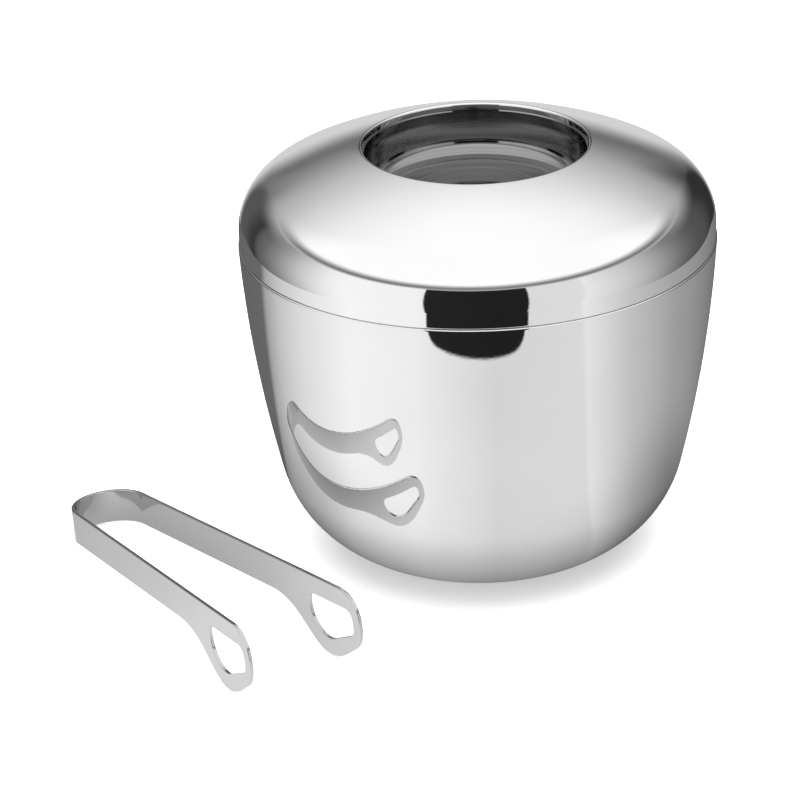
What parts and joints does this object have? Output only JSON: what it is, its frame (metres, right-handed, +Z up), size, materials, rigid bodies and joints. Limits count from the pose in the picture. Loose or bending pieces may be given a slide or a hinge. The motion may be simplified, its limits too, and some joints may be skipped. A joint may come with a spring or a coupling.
{
  "type": "ice bucket",
  "caption": "Round double-walled steel ice bucket with a domed lift-off lid, a dished lid top, and spring tongs with ring ends beside it.",
  "frame": {"origin": "centre of the bucket's base pad, on the table", "axes": "+Z up along the bucket's own axis; the tongs lie beside it towards -X and -Y"},
  "size_m": [0.2659, 0.2366, 0.1719],
  "materials": {
    "bucket_steel": "mirror-polished stainless steel",
    "lid_steel": "mirror-polished stainless steel",
    "dish_steel": "spun and polished stainless steel",
    "liner_steel": "satin stainless steel",
    "tongs_steel": "polished stainless steel strip",
    "silicone": "matt dark grey silicone"
  },
  "bodies": {
    "bucket": {"bucket_outer_shell": "bucket_steel", "bucket_inner_liner": "liner_steel", "bucket_base_pad": "silicone"},
    "lid": {"lid_top_shell": "lid_steel", "lid_dish": "dish_steel", "lid_under_pan": "liner_steel", "lid_seal_ring": "silicone"},
    "tongs": {"tongs_bow": "tongs_steel"},
    "tongs_left": {"tongs_left_arm": "tongs_steel"},
    "tongs_right": {"tongs_right_arm": "tongs_steel"}
  },
  "joints": [
    {"name": "lid_lift", "type": "slide", "parent": "bucket", "child": "lid", "axis": [0, 0, 1], "range_m": [0, 0.12]},
    {"name": "tongs_lift", "type": "slide", "parent": "bucket", "child": "tongs", "axis": [0, 0, 1], "range_m": [0, 0.25]},
    {"name": "left_arm_squeeze", "type": "hinge", "parent": "tongs", "child": "tongs_left", "pos_m": [-0.14154, 0.01386, 0.00867], "axis": [0.0585, -0.0941, -0.9938], "range_deg": [0, 8.4], "stiffness_Nm_per_rad": 3.8},
    {"name": "right_arm_squeeze", "type": "hinge", "parent": "tongs", "child": "tongs_right", "pos_m": [-0.16766, -0.0024, 0.00867], "axis": [-0.0585, 0.0941, 0.9938], "range_deg": [0, 8.4], "stiffness_Nm_per_rad": 3.8}
  ],
  "couplings": [
    {"joint": "right_arm_squeeze", "follows": "left_arm_squeeze", "ratio": 1}
  ]
}
